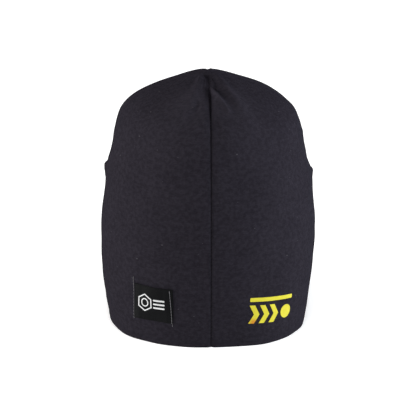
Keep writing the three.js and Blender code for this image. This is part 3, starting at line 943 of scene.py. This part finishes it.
PRINT_ACROSS = 0.0493
PRINT_UP = 0.0287
PRINT_WIDTH = 0.0400
PRINT_TALL = 0.0210
PRINT_TILT = math.radians(5)  # clockwise, seen from behind
FILM_UNDER, FILM_TOP = 0.00003, 0.00017
BAR = dict(tall=0.0032, corner=0.0005)
CHEVRON = dict(count=3, width=0.0046, tall=0.0148, point=0.0042, pitch=0.0087)
DISC = 0.0112


def film_piece(name, node, right, up, material):
    """Lays a flat shape of the print on the cloth, turned by its tilt about its middle."""
    across = right * math.cos(PRINT_TILT) + up * math.sin(PRINT_TILT)
    above = up * math.cos(PRINT_TILT) - right * math.sin(PRINT_TILT)
    place = PRINT_ACROSS + RIGHT * across, PRINT_UP + above
    top, bottom = (laid_on(RIGHT, *place, np.full(right.shape, lift))[0] for lift in (FILM_TOP, FILM_UNDER))
    piece = add_film(name, top, bottom, np.stack([right, up], -1), material)
    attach(piece, "root")
    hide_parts(node)


def disc(right, up, width):
    """A disc on a square grid whose lines bulge to its rim: x * sqrt(1 - y^2 / 2), y * sqrt(1 - x^2 / 2)."""
    x, y = np.meshgrid(np.linspace(-1, 1, 17), np.linspace(-1, 1, 17), indexing="ij")
    return right + x * np.sqrt(1 - y * y / 2) * width / 2, up + y * np.sqrt(1 - x * x / 2) * width / 2


def chevron(right, up):
    """A bar that stands up, pushed to the right by point * (1/2 - |2 * height / tall|)."""
    x, y = np.meshgrid(np.linspace(-0.5, 0.5, 6), np.linspace(-0.5, 0.5, 25), indexing="ij")
    forward = CHEVRON["point"] * (0.5 - np.abs(2 * y))
    return right + x * CHEVRON["width"] + forward, up + y * CHEVRON["tall"]


def film_material():
    """Bright yellow transfer film: satin, with the knit under it pressed through, a patchy tone where the
    cloth has stretched it, and an orange shade round its lower corner nearest the seam."""
    lemon, pale_lemon, orange = (0.43, 0.385, 0.018, 1), (0.50, 0.455, 0.032, 1), (0.45, 0.11, 0.010, 1)
    corner, clear_of_corner, full_shade = (-0.0155, -0.0100, 0), 0.0048, 0.0010
    material, tree, shader = new_material("yellow_film")
    places = cloth_uv(tree)
    knit = knit_height(tree, places)
    patchy = noise(tree, places, (260, 320, 1))
    yellow = mixed(tree, patchy, lemon, pale_lemon)
    away = combine(tree, "DISTANCE", "Value", {0: places, 1: corner})
    shade = calculate(tree, "MULTIPLY", ramp(tree, away, clear_of_corner, full_shade), 0.75)
    inputs = {
        "Base Color": mixed(tree, shade, yellow, orange),
        "Roughness": calculate(tree, "MULTIPLY_ADD", patchy, 0.2, 0.40),
        "Specular IOR Level": 0.15,
        "Normal": bump(tree, calculate(tree, "MULTIPLY_ADD", knit, 0.6, patchy), 0.35, 0.00008),
    }
    set_inputs(tree, shader, inputs)
    return material


film = film_material()
under_bar = (CHEVRON["tall"] - PRINT_TALL) / 2
bar = rounded_bar(0, (PRINT_TALL - BAR["tall"]) / 2, PRINT_WIDTH, BAR["tall"], BAR["corner"])
film_piece("film_bar", "print_bar", *bar, film)
for i in range(CHEVRON["count"]):
    right = (CHEVRON["width"] + CHEVRON["point"] - PRINT_WIDTH) / 2 + i * CHEVRON["pitch"]
    film_piece(f"film_chevron_{i + 1}", f"print_chevron_{i + 1}", *chevron(right, under_bar), film)
film_piece("film_disc", "print_disc", *disc((PRINT_WIDTH - DISC) / 2, under_bar, DISC), film)

# The studio: a wide white floor, a softbox on each side, one high up before the hat and a weaker one behind
# it, so that it is lit from all round and its sides are the brightest.

FLOOR = 8  # from its middle to each edge
SOFTBOXES = {
    "softbox_left": dict(place=(-2.0, -0.3, 0.7), width=1.2, tall=1.6, watts=64, colour=(1, 0.98, 0.95)),
    "softbox_right": dict(place=(2.0, -0.3, 0.45), width=1.2, tall=0.8, watts=66, colour=(0.92, 0.96, 1)),
    "softbox_high": dict(place=(0, -1.05, 2.4), width=0.8, tall=0.8, watts=28, colour=(1, 1, 1)),
    "softbox_behind": dict(place=(0, 2.6, 0.6), width=1.6, tall=1.0, watts=24, colour=(1, 1, 1)),
}


def add_floor():
    """White paper that glows a little, so that it comes out as white as the background."""
    mesh = bpy.data.meshes.new("floor")
    corners = [(-FLOOR, -FLOOR, 0), (FLOOR, -FLOOR, 0), (FLOOR, FLOOR, 0), (-FLOOR, FLOOR, 0)]
    mesh.from_pydata(corners, [], [(0, 1, 2, 3)])
    material, tree, shader = new_material("floor_paper")
    inputs = {"Base Color": (0.85, 0.85, 0.85, 1), "Roughness": 0.9}
    set_inputs(tree, shader, inputs | {"Emission Color": (1, 1, 1, 1), "Emission Strength": 0.46})
    mesh.materials.append(material)
    floor = bpy.data.objects.new("floor", mesh)
    bpy.context.scene.collection.objects.link(floor)
    return floor


add_floor()


def aim(thing, place, target):
    """Puts a light or the camera at a place, looking at a target."""
    thing.location = place
    thing.rotation_euler = (Vector(target) - Vector(place)).to_track_quat("-Z", "Y").to_euler()


def add_softbox(name, place, width, tall, watts, colour):
    """A bright sheet that looks at the hat and is itself out of sight."""
    light = bpy.data.lights.new(name, "AREA")
    light.shape = "RECTANGLE"
    light.size, light.size_y = width, tall
    light.energy = watts
    light.color = colour
    softbox = bpy.data.objects.new(name, light)
    softbox.visible_camera = False
    bpy.context.scene.collection.objects.link(softbox)
    aim(softbox, place, target=(0, 0, HEIGHT / 2))


for name, softbox in SOFTBOXES.items():
    add_softbox(name, **softbox)

world = bpy.data.worlds.new("studio")
world.use_nodes = True
world.node_tree.nodes["Background"].inputs["Color"].default_value = (1, 1, 1, 1)
world.node_tree.nodes["Background"].inputs["Strength"].default_value = 0.03
bpy.context.scene.world = world
bpy.context.scene.view_settings.view_transform = "Standard"

camera_data = bpy.data.cameras.new("camera")
camera_data.lens = 150.96
camera_data.sensor_width = 36
camera_data.clip_start = 0.05
camera = bpy.data.objects.new("camera", camera_data)
bpy.context.scene.collection.objects.link(camera)
aim(camera, place=(-0.0379, -1.3549, 0.4505), target=(-0.0003, -0.0033, 0.0874))
bpy.context.scene.camera = camera
